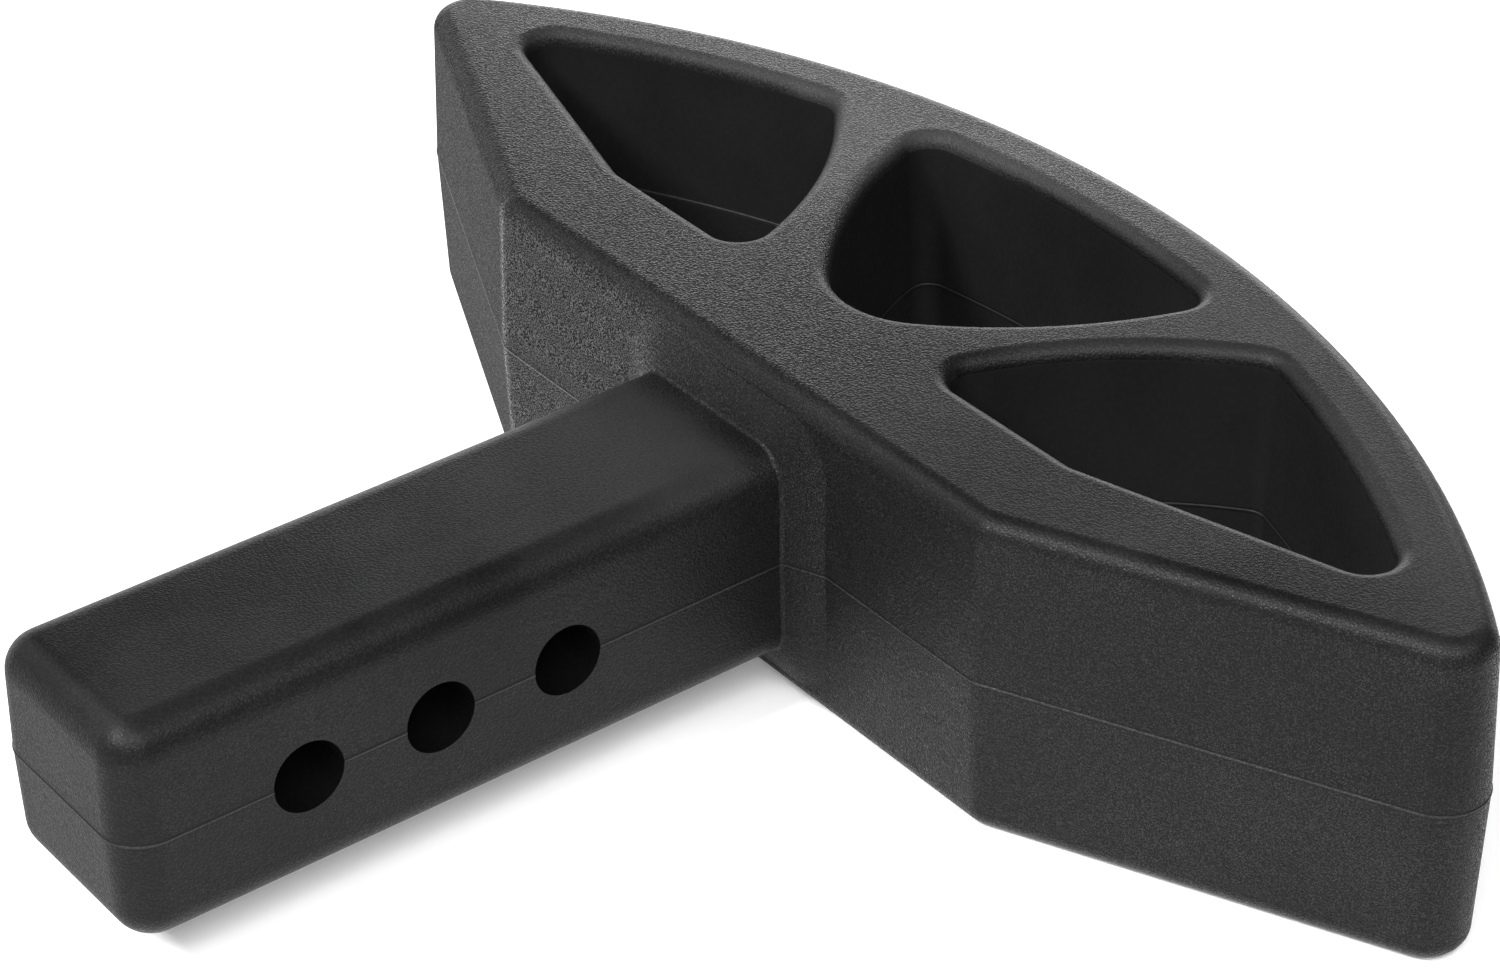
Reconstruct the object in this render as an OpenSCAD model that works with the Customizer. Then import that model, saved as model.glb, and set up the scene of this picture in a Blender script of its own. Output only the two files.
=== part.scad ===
// Hitch bumper guard, moulded in one piece from solid rubber.
// A square shank slides into a 2 inch receiver and is held by a pin through one of three cross
// holes. It carries a wide crescent head with three through pockets and a curved front face.
// X runs along the head, Y along the shank towards the front, Z up. The mould parts at z = 0.
// The origin is on the axis of the middle pin hole, at the middle of the shank.

/* [Head] */
// Distance from the flat back of the head to the middle of the curved front
head_depth = 115; // [100:1:150]
// Thickness of the head, top to bottom
head_thickness = 76; // [66:1:100]
// Radius of the curved front face at the parting plane
front_radius = 272; // [230:1:400]
// Width of the flat part of the back
back_flat_width = 163; // [110:1:190]
// Angle by which each slanted back facet turns away from the flat back
facet_angle = 24.5; // [16:0.5:34]
// Radius of the bends between the flat back and the facets, seen from above
bend_radius = 8; // [7:0.5:30]
// Radius of the rounded tips, seen from above
tip_radius = 10.5; // [8:0.5:20]
// Rounding of the top and bottom edges of the head
head_edge_radius = 5; // [2:0.5:6]
// Draft of the head and pocket walls, in degrees
head_draft = 2; // [0.5:0.5:4]

/* [Shank] */
// Width of the shank at the parting plane
shank_width = 50; // [38:0.5:64]
// Height of the shank, top to bottom
shank_height = 51; // [38:0.5:64]
// Length of the shank from its free end to the flat back of the head
shank_length = 160.5; // [130:0.5:240]
// Rounding of the long edges of the shank
shank_edge_radius = 8; // [3:0.5:8]
// Rounding of the two upright corners at the free end
shank_corner_radius = 9; // [8.5:0.5:14]
// Draft of the shank, in degrees
shank_draft = 1.4; // [0.4:0.2:3]

/* [Pin holes] */
// Diameter of the holes for the hitch pin
pin_hole_d = 16; // [12:0.5:19]
// Distance between neighbouring pin holes
pin_pitch = 30.6; // [24:0.2:40]
// Distance from the free end of the shank to the first pin hole
first_pin_hole = 40.9; // [24:0.1:50]

/* [Flare] */
// How far the flare stands out on each side of the shank, where it meets the head
flare_side = 9.5; // [4:0.5:20]
// Height of the back of the head that shows above the flare, and below it
flare_gap = 4.3; // [1:0.1:8]
// Length of the flare along the shank
flare_depth = 4.1; // [2:0.1:12]
// Corner radius of the flare where it meets the head
flare_corner_radius = 13; // [9:0.5:20]

/* [Pockets] */
// Wall between the pockets and the curved front, at the parting plane
front_wall = 18; // [12:0.5:30]
// Wall between the pockets and the flat back, at the parting plane
back_wall = 30.8; // [20:0.2:40]
// Half width of the middle pocket where its sides reach the front wall
middle_front_x = 46; // [36:0.5:52]
// Radius of the bulging sides of the middle pocket
middle_side_radius = 110.5; // [85:0.5:160]
// Rounding of the back corner of the middle pocket
middle_apex_radius = 20; // [10:0.5:24]
// Distance from the centre line to the back corner of a side pocket
side_back_x = 34; // [28:0.5:44]
// Width of the spokes between the pockets where they reach the front wall
spoke_width = 27; // [18:0.5:40]
// Radius of the bulging inner side of a side pocket
side_inner_radius = 103.5; // [85:0.5:160]
// How much nearer the centre line a side pocket bends than the back of the head does
side_bend_inset = 5; // [0:0.5:15]
// Angle of the slanted back of a side pocket
side_slant_angle = 16; // [10:0.5:24]
// Rounding of the other pocket corners at the parting plane
pocket_corner_radius = 5; // [3:0.5:8]
// Rounding of the top and bottom rims of the pockets
rim_radius = 4; // [1:0.5:6]

/* [Hidden] */
$fn = 96;

// How far cutters run past what they cut
over = 1;
// How far the shank and the flare run into the head
root = 10;
// How far the slope of the flare runs on past both its ends, as a part of its length
flare_past = 0.12;
// The least that the radius of an inner ring may come down to
least_radius = 0.1;
// Angle between the points of a rounded corner, and distance between those of a round wall
corner_step = 12;
wall_step = 9;
// Steps in the rounding of an edge
edge_steps = 6;

shank_end_y = -first_pin_hole - pin_pitch;
back_y = shank_end_y + shank_length;
// Centre of the curved front and of the pocket walls that follow it
front_centre = [0, back_y + head_depth - front_radius];
pocket_radius = front_radius - front_wall;
pocket_back_y = back_y + back_wall;
side_front_x = middle_front_x + spoke_width;
side_bend_x = back_flat_width / 2 - side_bend_inset;
// How far the flare stands out above the shank
flare_rise = head_thickness / 2 - flare_gap - shank_height / 2;

// Edges: half the height, draft, rounding, and 1 where the body widens away from z = 0, else -1
head_edge = [head_thickness / 2, head_draft, head_edge_radius, -1];
shank_edge = [shank_height / 2, shank_draft, shank_edge_radius, -1];
pocket_edge = [head_thickness / 2, head_draft, rim_radius, 1];

function unit(angle) = [cos(angle), sin(angle)];
function direction(v) = atan2(v.y, v.x);
function mirrored(p) = [-p.x, p.y];
// An angle brought to within a turn above another
function above(angle, low) = angle < low ? angle + 360 : angle;
// Centre of the circle of radius r through p and q that lies to the left of the way from p to q
function arc_centre(p, q, r) =
    let (half = (q - p) / 2, l = norm(half))
    p + half + [-half.y, half.x] / l * sqrt(r * r - l * l);
// Centre of a corner of radius r between a straight wall through p, with its outward normal at
// angle a, and a round wall; side is 1 for the far end of the straight wall and -1 for the near
function corner_on_wall(p, a, centre, big, r, side = 1) =
    let (e = unit(a + 90), start = p - r * unit(a) - centre, along = start * e)
    centre + start + e * (side * sqrt(along * along - start * start + pow(big - r, 2)) - along);
// Centre of a corner of radius r between two round walls, on the left of the way from a to b
function corner_of_arcs(a, ra, b, rb, r) =
    let (d = norm(b - a), u = (b - a) / d, x = (pow(ra - r, 2) - pow(rb - r, 2) + d * d) / (2 * d))
    a + u * x + [-u.y, u.x] * sqrt(pow(ra - r, 2) - x * x);
// Centre of a corner of radius r between two straight walls that meet at p
function corner_at(p, a0, a1, r) = p - r / cos((a1 - a0) / 2) * unit((a0 + a1) / 2);

// An outline is a list of corners, counterclockwise. Each is [centre, radius, wall], and the wall
// that follows the corner is [] if it is straight or [centre, radius] if it is round.
function after(outline, i) = outline[(i + 1) % len(outline)];
function before(outline, i) = outline[(i + len(outline) - 1) % len(outline)];
// Normal at which the wall from corner c to corner d starts, and at which it ends
function wall_start(c, d) =
    len(c[2]) > 0
        ? direction(c[0] - c[2][0])
        : direction(d[0] - c[0]) - 90 + asin((c[1] - d[1]) / norm(d[0] - c[0]));
function wall_end(c, d) =
    len(c[2]) > 0 ? above(direction(d[0] - c[2][0]), wall_start(c, d)) : wall_start(c, d);
// Points on the rounded corner c, which lies between the corners b and d, moved out by grow
function corner_points(b, c, d, grow) =
    let (a0 = wall_end(b, c), a1 = above(wall_start(c, d), a0), n = ceil((a1 - a0) / corner_step))
    [for (k = [0:n]) c[0] + (c[1] + grow) * unit(a0 + (a1 - a0) * k / n)];
// Points on the wall that follows the corner c, between its ends
function wall_points(c, d, grow) =
    let (a0 = wall_start(c, d), a1 = wall_end(c, d))
    len(c[2]) > 0
        ? let (n = ceil(c[2][1] * (a1 - a0) * PI / 180 / wall_step))
            [for (k = [1:n - 1]) c[2][0] + (c[2][1] + grow) * unit(a0 + (a1 - a0) * k / n)]
        : [];
function ring(outline, grow, z) = [
    for (i = [0:len(outline) - 1])
        let (b = before(outline, i), c = outline[i], d = after(outline, i))
        for (p = concat(corner_points(b, c, d, grow), wall_points(c, d, grow))) [p.x, p.y, z]
];
// How far the edge of a body lies outside its outline, with its height: [grow, z], upward from z = 0
function edge_profile(edge) =
    let (half = edge[0], draft = edge[1], r = edge[2], sense = edge[3])
    let (cx = sense * ((half - r) * tan(draft) + r / cos(draft)), cz = half - r)
    concat(
        [[0, 0]],
        [for (k = [0:edge_steps])
            let (a = draft + (90 - draft) * k / edge_steps)
            [cx - sense * r * cos(a), cz + r * sin(a)]],
        sense > 0 ? [[cx, half + over]] : []
    );

// A closed body through rings of equally many points, stacked upward
module loft(rings) {
    n = len(rings[0]);
    last = len(rings) - 1;
    polyhedron(
        points = [for (r = rings) each r],
        faces = concat(
            [[for (i = [0:n - 1]) i]],
            [for (k = [0:last - 1], i = [0:n - 1])
                let (j = (i + 1) % n)
                [k * n + i, (k + 1) * n + i, (k + 1) * n + j, k * n + j]],
            [[for (i = [n - 1:-1:0]) last * n + i]]
        )
    );
}

// The same edge, rounded no more than the smallest corner of the outline leaves room for
function fitted(edge, outline) =
    let (draft = edge[1], room = min([for (c = outline) c[1]]) - edge[0] * tan(draft) - least_radius)
    edge[3] > 0 ? edge : [edge[0], draft, min(edge[2], room / (1 / cos(draft) - tan(draft))), edge[3]];

// A body with drafted walls and rounded edges on an outline, the same above and below z = 0
module drafted_body(outline, edge) {
    upper = edge_profile(fitted(edge, outline));
    lower = [for (k = [len(upper) - 1:-1:1]) [upper[k][0], -upper[k][1]]];
    loft([for (e = concat(lower, upper)) ring(outline, e[0], e[1])]);
}

module both_sides() {
    children();
    mirror([1, 0, 0])
        children();
}

module head() {
    facet_normal = facet_angle - 90;
    bend_point = [back_flat_width / 2, back_y];
    bend = corner_at(bend_point, -90, facet_normal, bend_radius);
    tip = corner_on_wall(bend_point, facet_normal, front_centre, front_radius, tip_radius);
    drafted_body([
        [mirrored(bend), bend_radius, []],
        [bend, bend_radius, []],
        [tip, tip_radius, [front_centre, front_radius]],
        [mirrored(tip), tip_radius, []]
    ], head_edge);
}

module shank() {
    r = shank_corner_radius;
    x = shank_width / 2 - r;
    free = shank_end_y + r;
    held = back_y + root - r;
    drafted_body([
        [[-x, free], r, []],
        [[x, free], r, []],
        [[x, held], r, []],
        [[-x, held], r, []]
    ], shank_edge);
}

// The section of the shank spread outward: not at all at part 0, and as far as the flare goes at
// part 1. It leans like the back of the head.
function flare_ring(part, y) =
    let (
        r = shank_edge_radius + part * (flare_corner_radius - shank_edge_radius),
        side_x = shank_width / 2 + part * flare_side,
        x = side_x - (shank_height / 2 - shank_edge_radius) * tan(shank_draft) - r,
        z = shank_height / 2 + part * flare_rise - r,
        n = ceil(90 / corner_step),
        quarter = concat([[side_x, 0]], [for (k = [0:n]) [x, z] + r * unit(90 * k / n)]),
        other = [for (k = [n + 1:-1:1]) mirrored(quarter[k])]
    )
    [for (p = concat(quarter, other, -quarter, -other)) [p.x, y + abs(p.y) * tan(head_draft), p.y]];

// The shank widens into the back of the head
module flare() {
    loft([
        flare_ring(1 + flare_past, back_y + root),
        flare_ring(1 + flare_past, back_y + flare_past * flare_depth),
        flare_ring(-flare_past, back_y - (1 + flare_past) * flare_depth)
    ]);
}

// Where the front wall of the pockets lies at a distance x from the centre line
function front_wall_at(x) = [x, front_centre.y + sqrt(pow(pocket_radius, 2) - x * x)];

module middle_pocket() {
    rs = middle_side_radius;
    r = pocket_corner_radius;
    right = arc_centre([0, pocket_back_y], front_wall_at(middle_front_x), rs);
    left = mirrored(right);
    apex = corner_of_arcs(left, rs, right, rs, middle_apex_radius);
    front = corner_of_arcs(right, rs, front_centre, pocket_radius, r);
    drafted_body([
        [apex, middle_apex_radius, [right, rs]],
        [front, r, [front_centre, pocket_radius]],
        [mirrored(front), r, [left, rs]]
    ], pocket_edge);
}

module side_pocket() {
    r = pocket_corner_radius;
    slant_normal = side_slant_angle - 90;
    bend_point = [side_bend_x, pocket_back_y];
    inner = arc_centre(front_wall_at(side_front_x), [side_back_x, pocket_back_y], side_inner_radius);
    drafted_body([
        [corner_on_wall(bend_point, -90, inner, side_inner_radius, r, -1), r, []],
        [corner_at(bend_point, -90, slant_normal, r), r, []],
        [corner_on_wall(bend_point, slant_normal, front_centre, pocket_radius, r), r,
            [front_centre, pocket_radius]],
        [corner_of_arcs(front_centre, pocket_radius, inner, side_inner_radius, r), r,
            [inner, side_inner_radius]]
    ], pocket_edge);
}

module pin_holes() {
    for (i = [-1, 0, 1])
        translate([0, i * pin_pitch, 0])
            rotate([0, 90, 0])
                cylinder(d = pin_hole_d, h = shank_width + 2 * over, center = true);
}

module bumper_guard() {
    color("dimgray")
        difference() {
            union() {
                head();
                shank();
                flare();
            }
            middle_pocket();
            both_sides()
                side_pocket();
            pin_holes();
        }
}

bumper_guard();
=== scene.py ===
from math import asin, atan2, ceil, cos, pi, radians, sin, sqrt, tan
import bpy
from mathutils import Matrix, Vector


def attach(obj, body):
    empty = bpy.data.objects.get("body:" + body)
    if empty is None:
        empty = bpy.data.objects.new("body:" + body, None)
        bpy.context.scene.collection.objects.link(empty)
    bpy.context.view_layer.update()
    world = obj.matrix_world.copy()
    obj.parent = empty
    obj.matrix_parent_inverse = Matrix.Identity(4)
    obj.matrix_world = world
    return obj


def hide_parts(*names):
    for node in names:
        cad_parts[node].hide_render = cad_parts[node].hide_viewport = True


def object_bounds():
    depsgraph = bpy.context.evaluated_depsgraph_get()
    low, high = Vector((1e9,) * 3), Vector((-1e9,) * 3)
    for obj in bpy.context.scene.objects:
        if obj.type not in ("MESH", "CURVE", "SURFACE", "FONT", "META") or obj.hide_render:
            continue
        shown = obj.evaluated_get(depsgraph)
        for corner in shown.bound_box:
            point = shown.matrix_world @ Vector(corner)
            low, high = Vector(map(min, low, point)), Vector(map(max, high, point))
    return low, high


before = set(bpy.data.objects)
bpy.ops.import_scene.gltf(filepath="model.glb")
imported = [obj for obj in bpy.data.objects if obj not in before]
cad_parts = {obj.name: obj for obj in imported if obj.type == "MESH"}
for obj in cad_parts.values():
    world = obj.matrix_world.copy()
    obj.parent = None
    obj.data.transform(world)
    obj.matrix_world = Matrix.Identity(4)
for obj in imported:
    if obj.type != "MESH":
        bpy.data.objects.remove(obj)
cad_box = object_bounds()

from types import SimpleNamespace

import bpy
from mathutils import Matrix, Vector

# The moulding is laid out in millimetres, as in the CAD source, and its mesh is made in metres.
MM = 0.001

# Head: a crescent with a flat back, two slanted facets, rounded tips and a curved front
HEAD_DEPTH = 115
HEAD_THICKNESS = 76
FRONT_RADIUS = 272
BACK_FLAT_WIDTH = 163
FACET_ANGLE = radians(24.5)
BEND_RADIUS = 8
TIP_RADIUS = 10.5
HEAD_EDGE_RADIUS = 5
HEAD_DRAFT = radians(2)

# Shank: a square bar with rounded edges
SHANK_WIDTH = 50
SHANK_HEIGHT = 51
SHANK_LENGTH = 160.5
SHANK_EDGE_RADIUS = 8
SHANK_CORNER_RADIUS = 9
SHANK_DRAFT = radians(1.4)

# Pin holes through the shank
PIN_HOLE_RADIUS = 8
PIN_PITCH = 30.6
FIRST_PIN_HOLE = 40.9

# Flare where the shank meets the head
FLARE_SIDE = 9.5
FLARE_GAP = 4.3
FLARE_DEPTH = 4.1
FLARE_CORNER_RADIUS = 13
FLARE_INNER_FILLET = 1.2
FLARE_OUTER_FILLET = 2
FLARE_INNER_STEPS = 6
FLARE_OUTER_STEPS = 3

# Pockets through the head
FRONT_WALL = 18
BACK_WALL = 30.8
MIDDLE_FRONT_X = 46
MIDDLE_SIDE_RADIUS = 110.5
MIDDLE_APEX_RADIUS = 20
SPOKE_WIDTH = 27
SIDE_BACK_X = 34
SIDE_INNER_RADIUS = 103.5
SIDE_BEND_INSET = 5
SIDE_SLANT_ANGLE = radians(16)
POCKET_CORNER_RADIUS = 5
RIM_RADIUS = 4

# Flash: the fine ridge that the mould leaves at its parting plane, z = 0
FLASH_HEIGHT = 0.16
FLASH_TOP = 0.14
FLASH_FOOT = 0.32

# Fineness of the mesh
CORNER_STEP = radians(6)
PIN_HOLE_STEP = radians(5)
WALL_STEP = 3.0
EDGE_STEPS = 10
WALL_ROWS = 3
SHARP_ANGLE = radians(16)
ROUNDING_SLACK = 1e-6

# How far a cutter goes past a face, a piece goes into the next, and an edge is sunk below a surface
OVER = 1
ROOT = 10
SUNK = 0.05

# Where a material's look changes, as (start, end). From the back wall along Y:
SHANK_BAND = (-14, -4)
SHANK_ROOT_BAND = (-50, -14)
BEND_BAND = (1, 4)
FRONT_OF_TOP = (15, 85)
# From the shank's free end along Y, from the left bend along X, and from that bend on either side:
END_BAND = (1, 4)
FACET_BAND = (-6, 0)
BEND_LINE = (0.4, 2.8)
# Along X from left to right, on the top and on upright walls:
TOP_SIDES = (-30, 80)
WALL_SIDES = (-50, 0)
# A pocket's rim, as the distance from the back wall, from the front, and from the head's top or bottom:
RIM_FROM_BACK = (8, 12)
RIM_FROM_FRONT = (-12, -8)
RIM_FROM_TOP = (-7, -4)

# The same for the surface's normal: the size of its Z on walls, and its Y on the front and the free end
WALL_TILT = (0.3, 0.95)
FRONT_TILT = (0.0, 0.3)
END_TILT = (-0.9, -0.4)

# Noise of the leather grain, the worn specks and the cloudy patches. A scale is in cells to the metre, a
# range is the part of the noise that is used, and CELL_EDGE is the part of a cell over which its side falls.
WARP_SCALE = 900.0
CELL_WARP = 0.6
CELL_EDGE = (0.15, 0.75)
CELL_SHARE = 0.65
FINE_SCALE = 2600.0
SPECK_SCALE = 3300.0
SPECK_RANGE = (0.41, 0.68)
SPECK_STRENGTH = (-0.6, 0.8)
PATCH_SCALE = 22.0
PATCH_RANGE = (0.3, 0.7)

# How much the worn specks show, as (left, right), and their share on the shank and on the left facet
TOP_SPECKS = (0.6, 0.15)
WALL_SPECKS = (3.2, 1.2)
SHANK_TOP_SPECKS = 0.3
SHANK_WALL_SPECKS = 0.4
FACET_SPECKS = 0.5

# Depth of the grain on the top against that on walls, as (left, right), and its share on the shank
TOP_GRAIN = (1.8, 0.7)
SHANK_GRAIN = 0.45

# Tone: 0 is the dark colour and 1 the light one. What each place adds, as (left, right) where there are two
# Painted light and shade on the head's walls: lighter on the left and darker on the right, as the light falls
# from the left
WALL_PAINTED_LIGHT_SHADE = (0.7, -0.6)
# Painted shade on the top, and a painted highlight along the front of the top, strongest on the left
TOP_PAINTED_SHADE = -0.4
FRONT_OF_TOP_PAINTED_HIGHLIGHT = (2.5, 0.7)
# Painted light on the shank's top near the head, against the shade that the head casts there
SHANK_ROOT_PAINTED_LIGHT = 1.0
# Painted shade on the shank's walls, on the left facet and on the shank's free end
SHANK_WALL_PAINTED_SHADE = -0.6
FACET_PAINTED_SHADE = -0.9
END_PAINTED_SHADE = -0.4
# A painted highlight along the left bend, on the side where the light falls
BEND_PAINTED_HIGHLIGHT = 0.6
# On the parting line: a painted highlight on the ridge, and painted shade in the grooves beside it, which on
# the left facet is painted light instead
LINE_PAINTED_HIGHLIGHT = (6.0, 1.8)
GROOVE_PAINTED_SHADE = -1.2
FACET_GROOVE_PAINTED_LIGHT = 1.0
LEAST_TONE = -0.3
SPECK_TONE = 1.5
GRAIN_TONE = 0.65
PATCH_TONE = (-0.15, 0.5)

# Roughness that each place adds on upright walls, the share of a speck, and the range of the grain
WALL_DULLNESS = (0.1, 0.0)
FACET_DULLNESS = 0.2
END_DULLNESS = 0.1
SPECK_ROUGHNESS = -0.2
GRAIN_ROUGHNESS = 0.05

# Stage, in metres, and the camera of the photograph
FLOOR_HALF_WIDTH = 6.0
LIT_POINT = Vector((0, 0.08, 0))
CAMERA_PLACE = Vector((0.5799, -0.3397, 0.4817))
CAMERA_HEADING = radians(52.91)
CAMERA_FALL = radians(33.96)
CAMERA_ROLL = radians(0.98)
CAMERA_LENS = 98.27
CAMERA_SENSOR = 36.0
CAMERA_SHIFT = (-0.0075, 0.0214)

shank_end_y = -FIRST_PIN_HOLE - PIN_PITCH
back_y = shank_end_y + SHANK_LENGTH
front_centre = Vector((0, back_y + HEAD_DEPTH - FRONT_RADIUS))
pocket_radius = FRONT_RADIUS - FRONT_WALL
pocket_back_y = back_y + BACK_WALL
side_front_x = MIDDLE_FRONT_X + SPOKE_WIDTH
side_bend_x = BACK_FLAT_WIDTH / 2 - SIDE_BEND_INSET
flare_rise = HEAD_THICKNESS / 2 - FLARE_GAP - SHANK_HEIGHT / 2


# Outlines

def unit(angle):
    return Vector((cos(angle), sin(angle)))


def direction(v):
    return atan2(v.y, v.x)


def mirrored(p):
    return Vector((-p.x, p.y))


def above(angle, low):
    """An angle brought to within a turn above another."""
    return angle + 2 * pi if angle < low else angle


def arc_centre(p, q, r):
    """Centre of the circle of radius r through p and q, to the left of the way from p to q."""
    half = (q - p) / 2
    reach = half.length
    return p + half + Vector((-half.y, half.x)) / reach * sqrt(r * r - reach * reach)


def corner_on_wall(p, a, centre, big, r, side=1):
    """Centre of a corner of radius r between a straight wall through p, whose outward normal is at angle a,
    and a round wall. side is 1 for the far end of the straight wall and -1 for the near one."""
    e = unit(a + pi / 2)
    start = p - unit(a) * r - centre
    along = start.dot(e)
    return centre + start + e * (side * sqrt(along * along - start.dot(start) + (big - r) ** 2) - along)


def corner_of_arcs(a, ra, b, rb, r):
    """Centre of a corner of radius r between two round walls, on the left of the way from a to b."""
    d = (b - a).length
    u = (b - a) / d
    x = ((ra - r) ** 2 - (rb - r) ** 2 + d * d) / (2 * d)
    return a + u * x + Vector((-u.y, u.x)) * sqrt((ra - r) ** 2 - x * x)


def corner_at(p, a0, a1, r):
    """Centre of a corner of radius r between two straight walls that meet at p."""
    return p - unit((a0 + a1) / 2) * (r / cos((a1 - a0) / 2))


# An outline is a list of corners, counterclockwise: (centre, radius, wall). The wall that follows the corner
# is None if it is straight, or (centre, radius) if it is round.

def wall_start(c, d):
    if c[2]:
        return direction(c[0] - c[2][0])
    way = d[0] - c[0]
    return direction(way) - pi / 2 + asin((c[1] - d[1]) / way.length)


def wall_end(c, d):
    start = wall_start(c, d)
    return above(direction(d[0] - c[2][0]), start) if c[2] else start


def arc(centre, radius, a0, a1, step, inside=False):
    """Points on an arc, with a whole number of equal steps, and without its ends if inside."""
    n = max(1, ceil((a1 - a0) / step - ROUNDING_SLACK))
    ks = range(1, n) if inside else range(n + 1)
    return [centre + unit(a0 + (a1 - a0) * k / n) * radius for k in ks]


def outline_points(outline, grow):
    points = []
    for i, c in enumerate(outline):
        b = outline[i - 1]
        d = outline[(i + 1) % len(outline)]
        a0 = wall_end(b, c)
        a1 = above(wall_start(c, d), a0)
        points += arc(c[0], c[1] + grow, a0, a1, CORNER_STEP)
        if c[2]:
            start, end = wall_start(c, d), wall_end(c, d)
            points += arc(c[2][0], c[2][1] + grow, start, end, WALL_STEP / c[2][1], inside=True)
    return points


def head_outline():
    normal = FACET_ANGLE - pi / 2
    bend_point = Vector((BACK_FLAT_WIDTH / 2, back_y))
    bend = corner_at(bend_point, -pi / 2, normal, BEND_RADIUS)
    tip = corner_on_wall(bend_point, normal, front_centre, FRONT_RADIUS, TIP_RADIUS)
    return [
        (mirrored(bend), BEND_RADIUS, None),
        (bend, BEND_RADIUS, None),
        (tip, TIP_RADIUS, (front_centre, FRONT_RADIUS)),
        (mirrored(tip), TIP_RADIUS, None),
    ]


def shank_outline():
    r = SHANK_CORNER_RADIUS
    x = SHANK_WIDTH / 2 - r
    free, held = shank_end_y + r, back_y + ROOT - r
    return [(Vector(p), r, None) for p in ((-x, free), (x, free), (x, held), (-x, held))]


def front_wall_at(x):
    return Vector((x, front_centre.y + sqrt(pocket_radius ** 2 - x * x)))


def middle_pocket_outline():
    rs, r = MIDDLE_SIDE_RADIUS, POCKET_CORNER_RADIUS
    right = arc_centre(Vector((0, pocket_back_y)), front_wall_at(MIDDLE_FRONT_X), rs)
    left = mirrored(right)
    apex = corner_of_arcs(left, rs, right, rs, MIDDLE_APEX_RADIUS)
    front = corner_of_arcs(right, rs, front_centre, pocket_radius, r)
    return [
        (apex, MIDDLE_APEX_RADIUS, (right, rs)),
        (front, r, (front_centre, pocket_radius)),
        (mirrored(front), r, (left, rs)),
    ]


def side_pocket_outline():
    rs, r = SIDE_INNER_RADIUS, POCKET_CORNER_RADIUS
    slant = SIDE_SLANT_ANGLE - pi / 2
    bend_point = Vector((side_bend_x, pocket_back_y))
    inner = arc_centre(front_wall_at(side_front_x), Vector((SIDE_BACK_X, pocket_back_y)), rs)
    return [
        (corner_on_wall(bend_point, -pi / 2, inner, rs, r, side=-1), r, None),
        (corner_at(bend_point, -pi / 2, slant, r), r, None),
        (corner_on_wall(bend_point, slant, front_centre, pocket_radius, r), r, (front_centre, pocket_radius)),
        (corner_of_arcs(front_centre, pocket_radius, inner, rs, r), r, (inner, rs)),
    ]


# Meshes

def edge_profile(half, draft, radius, sense):
    """Rows [(grow, z, is_rim)] from z = 0 up: the flash, the drafted wall and the rounded edge. sense is 1
    for a pocket, which widens away from z = 0, and -1 for a body."""
    ridge = -sense * FLASH_HEIGHT
    wall_top = half - radius * (1 - sin(draft))
    foot = sense * FLASH_FOOT * tan(draft)
    rows = [(ridge, 0.0, False), (ridge, FLASH_TOP, False), (foot, FLASH_FOOT, False)]
    for k in range(1, WALL_ROWS):
        z = FLASH_FOOT + (wall_top - FLASH_FOOT) * k / WALL_ROWS
        rows.append((sense * z * tan(draft), z, False))
    cx = sense * ((half - radius) * tan(draft) + radius / cos(draft))
    for k in range(EDGE_STEPS + 1):
        a = draft + (pi / 2 - draft) * k / EDGE_STEPS
        rows.append((cx - sense * radius * cos(a), half - radius + radius * sin(a), k > 0))
    if sense > 0:
        rows.append((cx, half + OVER, True))
    return rows


def new_mesh(name, points, faces, slots, materials):
    """A mesh from points in millimetres, with one material slot number for each face."""
    mesh = bpy.data.meshes.new(name)
    mesh.from_pydata([Vector(p) * MM for p in points], [], faces)
    for m in materials:
        mesh.materials.append(m)
    mesh.polygons.foreach_set("material_index", slots)
    mesh.update()
    obj = bpy.data.objects.new(name, mesh)
    bpy.context.scene.collection.objects.link(obj)
    return obj


def loft(name, rings, materials, slots=None):
    """A closed body through rings of equally many points. slots holds a slot number for each band."""
    n, last = len(rings[0]), len(rings) - 1
    slots = slots or [0] * last
    faces = [list(range(n))[::-1]]
    face_slots = [slots[0]]
    for k in range(last):
        for i in range(n):
            j = (i + 1) % n
            faces.append((k * n + i, k * n + j, (k + 1) * n + j, (k + 1) * n + i))
            face_slots.append(slots[k])
    faces.append([last * n + i for i in range(n)])
    face_slots.append(slots[-1])
    return new_mesh(name, [p for ring in rings for p in ring], faces, face_slots, materials)


def drafted_body(name, outline, half, draft, radius, sense, materials, wall_slot=0):
    rows = edge_profile(half, draft, radius, sense)
    rows = [(g, -z, rim) for g, z, rim in rows[:0:-1]] + rows
    rings = [[(p.x, p.y, z) for p in outline_points(outline, grow)] for grow, z, rim in rows]
    slots = [0 if rows[k][2] and rows[k + 1][2] else wall_slot for k in range(len(rows) - 1)]
    return loft(name, rings, materials, slots)


def fillet(a, b, c, r, steps):
    """Points on the arc of radius r that rounds the corner at b of the line a, b, c."""
    u, v = (a - b).normalized(), (c - b).normalized()
    half = u.angle(v) / 2
    centre = b + (u + v).normalized() * (r / sin(half))
    start, end = b + u * (r / tan(half)) - centre, b + v * (r / tan(half)) - centre
    turn = start.angle_signed(end)
    a0 = direction(start)
    return [centre + unit(a0 - turn * k / steps) * r for k in range(steps + 1)]


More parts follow.
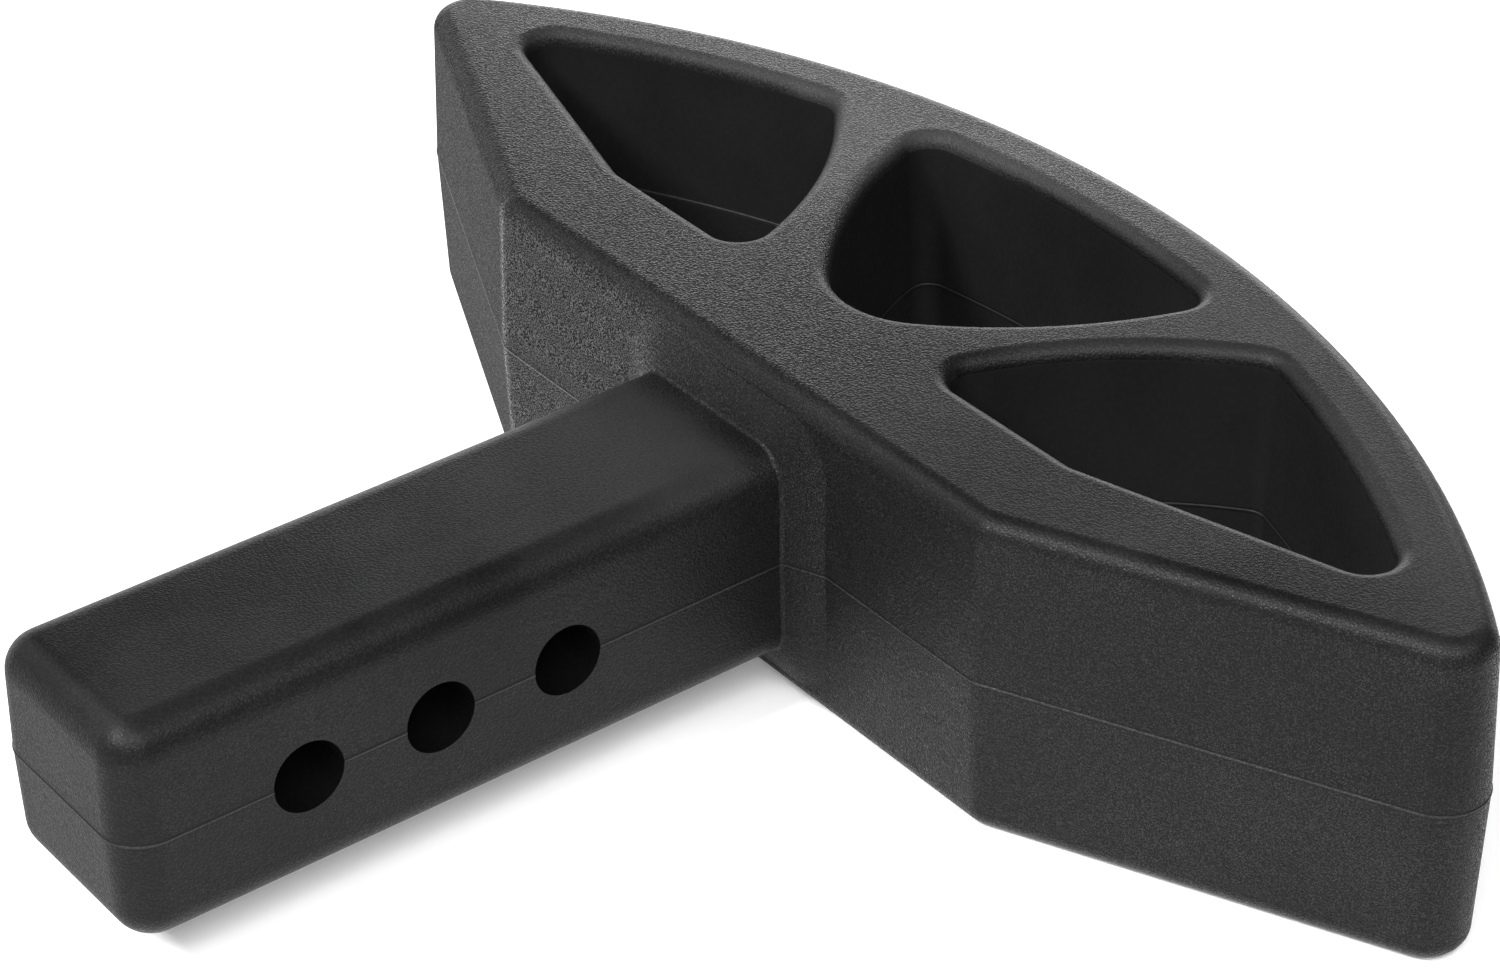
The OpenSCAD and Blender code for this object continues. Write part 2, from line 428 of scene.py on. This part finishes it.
def flare(materials):
    """The flare: rings of the shank's own section, spread outward along a filleted slope."""
    shank_top = SHANK_HEIGHT / 2
    corner_x = SHANK_WIDTH / 2 - (shank_top - SHANK_EDGE_RADIUS) * tan(SHANK_DRAFT)
    foot, lip = Vector((0, -FLARE_DEPTH)), Vector((FLARE_SIDE, SUNK))
    on_shank, on_head = foot - Vector((0, ROOT)), lip + Vector((ROOT, 0))
    slope = (
        fillet(on_shank, foot, lip, FLARE_INNER_FILLET, FLARE_INNER_STEPS)
        + fillet(foot, lip, on_head, FLARE_OUTER_FILLET, FLARE_OUTER_STEPS)
    )
    # The first ring lies inside the shank, and the last runs into the head.
    inside_x, inside_y = 0.6, 1.5
    profile = [Vector((-inside_x, slope[0].y - inside_y)), Vector((-SUNK, slope[0].y))] + slope[1:]
    profile += [profile[-1] + Vector((0, ROOT))]
    rings = []
    for s in profile:
        part = s.x / FLARE_SIDE
        r = SHANK_EDGE_RADIUS + (FLARE_CORNER_RADIUS - SHANK_EDGE_RADIUS) * min(part, 1)
        centre = Vector((corner_x + s.x - r, shank_top + flare_rise * part - r))
        quarter = arc(centre, r, 0, pi / 2, CORNER_STEP)
        half = quarter + [mirrored(p) for p in quarter[::-1]]
        section = [Vector((SHANK_WIDTH / 2 + s.x, 0))] + half + [Vector((-SHANK_WIDTH / 2 - s.x, 0))]
        section += [Vector((p.x, -p.y)) for p in half[::-1]]
        rings.append([(p.x, back_y + s.y + abs(p.y) * tan(HEAD_DRAFT), p.y) for p in section])
    return loft("flare", rings[::-1], materials)


def flare_flash(materials):
    """The flash across the flare, as a thin plate at the parting plane."""
    inner, outer = SHANK_WIDTH / 2 + FLASH_HEIGHT, SHANK_WIDTH / 2 + FLARE_SIDE + FLASH_HEIGHT
    plan = [(-outer, back_y), (-inner, back_y - FLARE_DEPTH), (inner, back_y - FLARE_DEPTH), (outer, back_y),
            (outer, back_y + ROOT), (-outer, back_y + ROOT)]
    plan = [(x, y - FLASH_HEIGHT / 2) for x, y in plan]
    return loft("flare_flash", [[(x, y, z) for x, y in plan] for z in (-FLASH_TOP, FLASH_TOP)], materials)


def pin_hole(name, y, materials, slot):
    length = SHANK_WIDTH / 2 + OVER
    circle = arc(Vector((0, 0)), PIN_HOLE_RADIUS, 0, 2 * pi, PIN_HOLE_STEP)[:-1]
    rings = [[(x, y + p.x, p.y) for p in circle] for x in (-length, length)]
    return loft(name, rings, materials, [slot])


def combine(target, other, operation):
    """Joins or cuts target with other, which is used up."""
    step = target.modifiers.new(operation.lower(), "BOOLEAN")
    step.object = other
    step.operation = operation
    step.solver = "EXACT"
    step.material_mode = "TRANSFER"
    dg = bpy.context.evaluated_depsgraph_get()
    mesh = bpy.data.meshes.new_from_object(target.evaluated_get(dg))
    target.modifiers.clear()
    old = target.data
    target.data = mesh
    bpy.data.meshes.remove(old)
    spare = other.data
    bpy.data.objects.remove(other)
    bpy.data.meshes.remove(spare)


# Materials

class Nodes:
    """Makes a material's nodes and links with short calls."""

    def __init__(self, name):
        self.material = bpy.data.materials.new(name)
        self.material.use_nodes = True
        self.tree = self.material.node_tree
        self.tree.nodes.clear()
        self.out = self.tree.nodes.new("ShaderNodeOutputMaterial")
        self.shader = self.tree.nodes.new("ShaderNodeBsdfPrincipled")
        self.link(self.shader.outputs[0], self.out.inputs["Surface"])

    def link(self, a, b):
        self.tree.links.new(a, b)

    def add(self, kind, inputs=None, **settings):
        node = self.tree.nodes.new("ShaderNode" + kind)
        for key, value in settings.items():
            setattr(node, key, value)
        for key, value in (inputs or {}).items():
            if isinstance(value, bpy.types.NodeSocket):
                self.link(value, node.inputs[key])
            else:
                node.inputs[key].default_value = value
        return node

    def math(self, operation, a, b=0.0):
        return self.add("Math", {0: a, 1: b}, operation=operation).outputs[0]

    def plus(self, first, *others):
        for other in others:
            first = self.math("ADD", first, other)
        return first

    def minus(self, a, b):
        return self.math("SUBTRACT", a, b)

    def times(self, first, *others):
        for other in others:
            first = self.math("MULTIPLY", first, other)
        return first

    def absolute(self, a):
        return self.math("ABSOLUTE", a)

    def mix(self, factor, a, b):
        return self.add("Mix", {0: factor, 2: a, 3: b}, data_type="FLOAT").outputs[0]

    def noise(self, place, scale, detail, output="Fac", **inputs):
        node = self.add("TexNoise", {"Vector": place, "Scale": scale, "Detail": detail} | inputs)
        return node.outputs[output]

    def vector_math(self, operation, inputs, output="Vector"):
        return self.add("VectorMath", inputs, operation=operation).outputs[output]

    def rise(self, value, low, high, to_low=0.0, to_high=1.0):
        """A smooth step from to_low at low to to_high at high."""
        inputs = {"Value": value, "From Min": low, "From Max": high, "To Min": to_low, "To Max": to_high}
        return self.add("MapRange", inputs, interpolation_type="SMOOTHSTEP").outputs[0]

    def share(self, mask, ends):
        """The first of two values where the mask is 0, and the second where it is 1."""
        return self.rise(mask, 0.0, 1.0, *ends)

    def band(self, value, ends, origin=0.0, falling=False):
        """A mask that goes from 0 to 1, or from 1 to 0, between two places in millimetres from an origin."""
        low, high = ((origin + end) * MM for end in ends)
        return self.rise(value, low, high, *((1.0, 0.0) if falling else (0.0, 1.0)))


def find_places(n):
    """Masks of the places where the look changes, from object coordinates and the surface's normal."""
    coords = n.add("TexCoord").outputs
    place = coords["Object"]
    x, y, z = n.add("SeparateXYZ", {0: place}).outputs
    normal = n.add("SeparateXYZ", {0: coords["Normal"]}).outputs
    half_flat = BACK_FLAT_WIDTH / 2
    off_line = n.absolute(z)

    front = n.rise(normal[1], *FRONT_TILT)
    to_free_end = n.rise(normal[1], *END_TILT, 1.0, 0.0)
    left_side = n.band(x, FACET_BAND, -half_flat, falling=True)
    off_bend = n.absolute(n.plus(x, half_flat * MM))
    groove_foot = (FLASH_FOOT, 3 * FLASH_FOOT)

    past_bend = n.minus(n.absolute(x), half_flat * MM)
    facet_y = n.math("MAXIMUM", n.times(past_bend, tan(FACET_ANGLE)), 0.0)
    from_back = n.minus(n.minus(y, back_y * MM), facet_y)
    from_centre = n.add("CombineXYZ", {0: x, 1: n.minus(y, front_centre.y * MM)}).outputs[0]
    from_centre = n.vector_math("LENGTH", {0: from_centre}, "Value")

    return SimpleNamespace(
        place=place,
        upright=n.rise(n.absolute(normal[2]), *WALL_TILT, 1.0, 0.0),
        shank=n.band(y, SHANK_BAND, back_y, falling=True),
        shank_root=n.band(y, SHANK_ROOT_BAND, back_y),
        free_end=n.times(to_free_end, n.band(y, END_BAND, shank_end_y, falling=True)),
        right=n.band(x, TOP_SIDES),
        # The front face is the same from tip to tip.
        right_wall=n.mix(front, n.band(x, WALL_SIDES), 0.5),
        front_of_top=n.band(y, FRONT_OF_TOP, back_y),
        left_facet=n.times(left_side, n.minus(1.0, front)),
        left_bend=n.times(
            n.band(off_bend, BEND_LINE, falling=True),
            n.band(y, BEND_BAND, back_y, falling=True),
        ),
        rim=n.times(
            n.band(from_back, RIM_FROM_BACK),
            n.band(from_centre, RIM_FROM_FRONT, FRONT_RADIUS, falling=True),
            n.band(off_line, RIM_FROM_TOP, HEAD_THICKNESS / 2),
        ),
        line=n.band(off_line, (FLASH_TOP, 2 * FLASH_TOP), falling=True),
        groove=n.times(
            n.band(off_line, (FLASH_TOP, FLASH_FOOT)),
            n.band(off_line, groove_foot, falling=True),
        ),
    )


def leather_height(n, place, size):
    """The height of the leather grain: rounded, warped cells, size millimetres wide, and fine noise."""
    warp = n.noise(place, WARP_SCALE, 0.0, "Color")
    bent = n.vector_math("SUBTRACT", {0: warp, 1: (0.5, 0.5, 0.5)})
    bent = n.vector_math("SCALE", {0: bent, "Scale": CELL_WARP * MM})
    bent = n.vector_math("ADD", {0: place, 1: bent})
    cells = n.add("TexVoronoi", {"Vector": bent, "Scale": 1 / (size * MM)}, feature="F1")
    pebbles = n.rise(cells.outputs["Distance"], *CELL_EDGE, 1.0, 0.0)
    fine = n.noise(place, FINE_SCALE, 1.0)
    return n.plus(n.times(pebbles, CELL_SHARE), n.times(fine, 1 - CELL_SHARE))


def grain_depth(n, where, grain):
    left, right = (part * grain * MM for part in TOP_GRAIN)
    on_top = n.times(n.share(where.right, (left, right)), n.share(where.shank, (1.0, SHANK_GRAIN)))
    return n.mix(where.upright, on_top, grain * MM)


def worn_specks(n, where, wear_and_painted_light):
    """Small specks, paler and smoother than the skin round them. They show most on upright walls, and little
    on the shank's top and on the rims of the pockets."""
    on_top = n.times(n.share(where.right, TOP_SPECKS), n.share(where.shank, (1.0, SHANK_TOP_SPECKS)))
    on_wall = n.times(
        n.share(where.right_wall, WALL_SPECKS),
        n.share(where.shank, (1.0, SHANK_WALL_SPECKS)),
        n.share(where.left_facet, (1.0, FACET_SPECKS)),
    )
    amount = n.mix(n.times(where.upright, n.minus(1.0, where.rim)), on_top, on_wall)
    speck = n.noise(where.place, SPECK_SCALE, 1.0, Roughness=0.6)
    return n.times(n.rise(speck, *SPECK_RANGE, *SPECK_STRENGTH), n.times(amount, wear_and_painted_light))


def painted_light_by_place(n, where, wear_and_painted_light):
    """The painted light and shade that the place adds to the tone, on the top and on upright walls."""
    on_wall = n.plus(
        n.times(n.share(where.right_wall, WALL_PAINTED_LIGHT_SHADE), n.share(where.shank, (1.0, 0.0))),
        n.times(where.shank, SHANK_WALL_PAINTED_SHADE),
        n.times(where.left_facet, FACET_PAINTED_SHADE),
        n.times(where.free_end, END_PAINTED_SHADE),
    )
    on_top = n.plus(
        n.times(n.share(where.right, FRONT_OF_TOP_PAINTED_HIGHLIGHT), n.share(where.front_of_top, (0.0, 1.0))),
        n.times(where.shank, where.shank_root, SHANK_ROOT_PAINTED_LIGHT),
        TOP_PAINTED_SHADE,
    )
    return n.mix(where.upright, n.times(on_top, wear_and_painted_light), n.times(on_wall, wear_and_painted_light))


def rubber_tone(n, where, height, speck, wear_and_painted_light, painted_line_highlight):
    patches = n.noise(where.place, PATCH_SCALE, 3.0, Roughness=0.6)
    left_line, right_line = (tone * painted_line_highlight for tone in LINE_PAINTED_HIGHLIGHT)
    tone = n.plus(
        n.rise(patches, *PATCH_RANGE, *PATCH_TONE),
        n.times(height, GRAIN_TONE),
        n.times(speck, SPECK_TONE),
        # Painted light and shade that the place adds
        painted_light_by_place(n, where, wear_and_painted_light),
        # A painted highlight along the left bend
        n.times(where.left_bend, where.upright, BEND_PAINTED_HIGHLIGHT),
        # The parting line: a painted highlight on it, and painted shade beside it, turned to painted light on
        # the left facet
        n.times(where.line, n.share(where.right_wall, (left_line, right_line))),
        n.times(where.groove, n.share(where.left_facet, (GROOVE_PAINTED_SHADE, FACET_GROOVE_PAINTED_LIGHT))),
    )
    return n.math("MAXIMUM", tone, LEAST_TONE)


def rubber_roughness(n, where, height, speck, wear_and_painted_light, roughness):
    dull = n.plus(
        n.share(where.right_wall, WALL_DULLNESS),
        n.times(where.left_facet, FACET_DULLNESS),
        n.times(where.free_end, END_DULLNESS),
    )
    return n.plus(
        n.share(height, (roughness + GRAIN_ROUGHNESS, roughness - GRAIN_ROUGHNESS)),
        n.times(speck, SPECK_ROUGHNESS),
        n.times(where.upright, n.times(dull, wear_and_painted_light)),
    )


def rubber(name, dark, light, roughness, shine, grain, grain_size, wear_and_painted_light, painted_line_highlight):
    """Moulded rubber, from a dark and a light grey. shine is the specular level, grain the depth of the
    leather grain in millimetres, grain_size the size of its cells, the next argument the strength of the
    specks and of the painted light and shade that a place adds, and the last how pale the parting line is
    painted as a highlight."""
    n = Nodes(name)
    where = find_places(n)
    height = leather_height(n, where.place, grain_size)
    bump = n.add("Bump", {"Height": height, "Strength": 1.0, "Distance": grain_depth(n, where, grain)})
    n.link(bump.outputs["Normal"], n.shader.inputs["Normal"])

    speck = worn_specks(n, where, wear_and_painted_light)
    tone = rubber_tone(n, where, height, speck, wear_and_painted_light, painted_line_highlight)
    colour = n.add("Mix", {0: tone, 6: (dark, dark, dark, 1), 7: (light, light, light, 1)}, data_type="RGBA")
    colour.clamp_factor = False
    n.link(colour.outputs[2], n.shader.inputs["Base Color"])
    n.link(rubber_roughness(n, where, height, speck, wear_and_painted_light, roughness), n.shader.inputs["Roughness"])
    n.shader.inputs["Specular IOR Level"].default_value = shine
    return n.material


def floor_material():
    n = Nodes("pale_floor")
    place = n.add("TexCoord").outputs["Object"]
    speckle = n.noise(place, 40.0, 4.0)
    colour = n.add("Mix", {0: speckle, 6: (0.93, 0.93, 0.93, 1), 7: (0.95, 0.95, 0.95, 1)}, data_type="RGBA")
    n.link(colour.outputs[2], n.shader.inputs["Base Color"])
    n.shader.inputs["Roughness"].default_value = 0.6
    n.shader.inputs["Specular IOR Level"].default_value = 0.2
    # The floor glows faintly, as painted light that lightens the shadows cast on it
    n.shader.inputs["Emission Color"].default_value = (1, 1, 1, 1)
    n.shader.inputs["Emission Strength"].default_value = 0.2
    return n.material


# The guard

def make_guard():
    smooth = {"grain": 0.008, "grain_size": 1.2, "wear_and_painted_light": 0.05, "painted_line_highlight": 0.4}
    # Material slots 0, 1 and 2: the skin, the pockets' walls and the pin holes, whose rubber is made near
    # black as painted shade inside the holes
    materials = [
        rubber("grained_rubber", 0.0057, 0.0163, 0.44, 0.14, grain=0.07, grain_size=0.6, wear_and_painted_light=1.0, painted_line_highlight=1.0),
        rubber("smooth_rubber", 0.0065, 0.011, 0.5, 0.14, **smooth),
        rubber("hole_painted_shade", 0.002, 0.004, 0.6, 0.05, **smooth),
    ]
    head_half, shank_half = HEAD_THICKNESS / 2, SHANK_HEIGHT / 2
    head, bar = head_outline(), shank_outline()
    guard = drafted_body("moulded_guard", head, head_half, HEAD_DRAFT, HEAD_EDGE_RADIUS, -1, materials)
    shank = drafted_body("shank", bar, shank_half, SHANK_DRAFT, SHANK_EDGE_RADIUS, -1, materials)
    combine(guard, shank, "UNION")
    combine(guard, flare(materials), "UNION")
    combine(guard, flare_flash(materials), "UNION")
    side = side_pocket_outline()
    pockets = {
        "middle_pocket": middle_pocket_outline(),
        "right_pocket": side,
        "left_pocket": [(mirrored(c), r, w and (mirrored(w[0]), w[1])) for c, r, w in side],
    }
    # The corners of the mirrored outline run the other way round.
    left = pockets["left_pocket"][::-1]
    pockets["left_pocket"] = [(c[0], c[1], left[(i + 1) % len(left)][2]) for i, c in enumerate(left)]
    for name, outline in pockets.items():
        cutter = drafted_body(name, outline, head_half, HEAD_DRAFT, RIM_RADIUS, 1, materials, wall_slot=1)
        combine(guard, cutter, "DIFFERENCE")
    for i in (-1, 0, 1):
        combine(guard, pin_hole("pin_hole", i * PIN_PITCH, materials, 2), "DIFFERENCE")
    guard.data.name = guard.name
    guard.data.shade_smooth()
    guard.data.set_sharp_from_angle(angle=SHARP_ANGLE)
    normals = guard.modifiers.new("weighted_normals", "WEIGHTED_NORMAL")
    normals.keep_sharp = True
    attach(guard, "root")
    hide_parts("bumper_guard")
    return guard


# Stage

def make_floor():
    z = cad_box[0].z
    size = FLOOR_HALF_WIDTH
    corners = [(-size, -size, z), (size, -size, z), (size, size, z), (-size, size, z)]
    mesh = bpy.data.meshes.new("floor")
    mesh.from_pydata(corners, [], [(0, 1, 2, 3)])
    mesh.materials.append(floor_material())
    floor = bpy.data.objects.new("floor", mesh)
    bpy.context.scene.collection.objects.link(floor)


def panel(name, heading, rise, width, height, power, reach=1.7):
    """A soft light panel that faces the guard. heading is the way to it, counterclockwise from +X, and rise
    is its angle above the floor, both in degrees. reach is how far it stands from the guard, in metres."""
    h, r = radians(heading), radians(rise)
    way = Vector((cos(h) * cos(r), sin(h) * cos(r), sin(r)))
    light = bpy.data.lights.new(name, "AREA")
    light.shape = "RECTANGLE"
    light.size, light.size_y = width, height
    light.energy = power
    obj = bpy.data.objects.new(name, light)
    obj.location = LIT_POINT + way * reach
    obj.rotation_euler = (-way).to_track_quat("-Z", "Y").to_euler()
    obj.visible_camera = False
    bpy.context.scene.collection.objects.link(obj)


def make_lights():
    world = bpy.data.worlds.new("studio")
    world.use_nodes = True
    background = world.node_tree.nodes["Background"]
    background.inputs["Color"].default_value = (1, 1, 1, 1)
    background.inputs["Strength"].default_value = 0.01
    bpy.context.scene.world = world
    panel("far_left_panel", 135, 8, 0.95, 0.4, 8, reach=1.2)
    panel("left_panel", 180, 8, 1.3, 0.55, 5)
    panel("near_left_panel", 225, 8, 1.3, 0.55, 2.5)
    panel("far_panel", 120, 24, 1.3, 0.55, 1.8)
    panel("left_softbox", 225, 50, 1.3, 0.7, 14)
    panel("right_softbox", 0, 50, 1.3, 0.7, 17)
    panel("camera_softbox", 315, 50, 1.3, 0.7, 20)
    panel("back_lamp", 267, 48, 0.3, 0.3, 28)


def make_camera():
    """The photograph's camera, from its place, its heading, how far it looks down and its small roll."""
    camera = bpy.data.cameras.new("camera")
    camera.sensor_width = CAMERA_SENSOR
    camera.lens = CAMERA_LENS
    camera.shift_x, camera.shift_y = CAMERA_SHIFT
    camera.clip_start = 0.01
    obj = bpy.data.objects.new("camera", camera)
    turn = Matrix.Rotation(CAMERA_HEADING, 4, "Z")
    fall = Matrix.Rotation(pi / 2 - CAMERA_FALL, 4, "X")
    roll = Matrix.Rotation(-CAMERA_ROLL, 4, "Z")
    obj.matrix_world = Matrix.Translation(CAMERA_PLACE) @ turn @ fall @ roll
    bpy.context.scene.collection.objects.link(obj)
    bpy.context.scene.camera = obj


make_guard()
make_floor()
make_lights()
make_camera()
bpy.context.scene.view_settings.view_transform = "Standard"
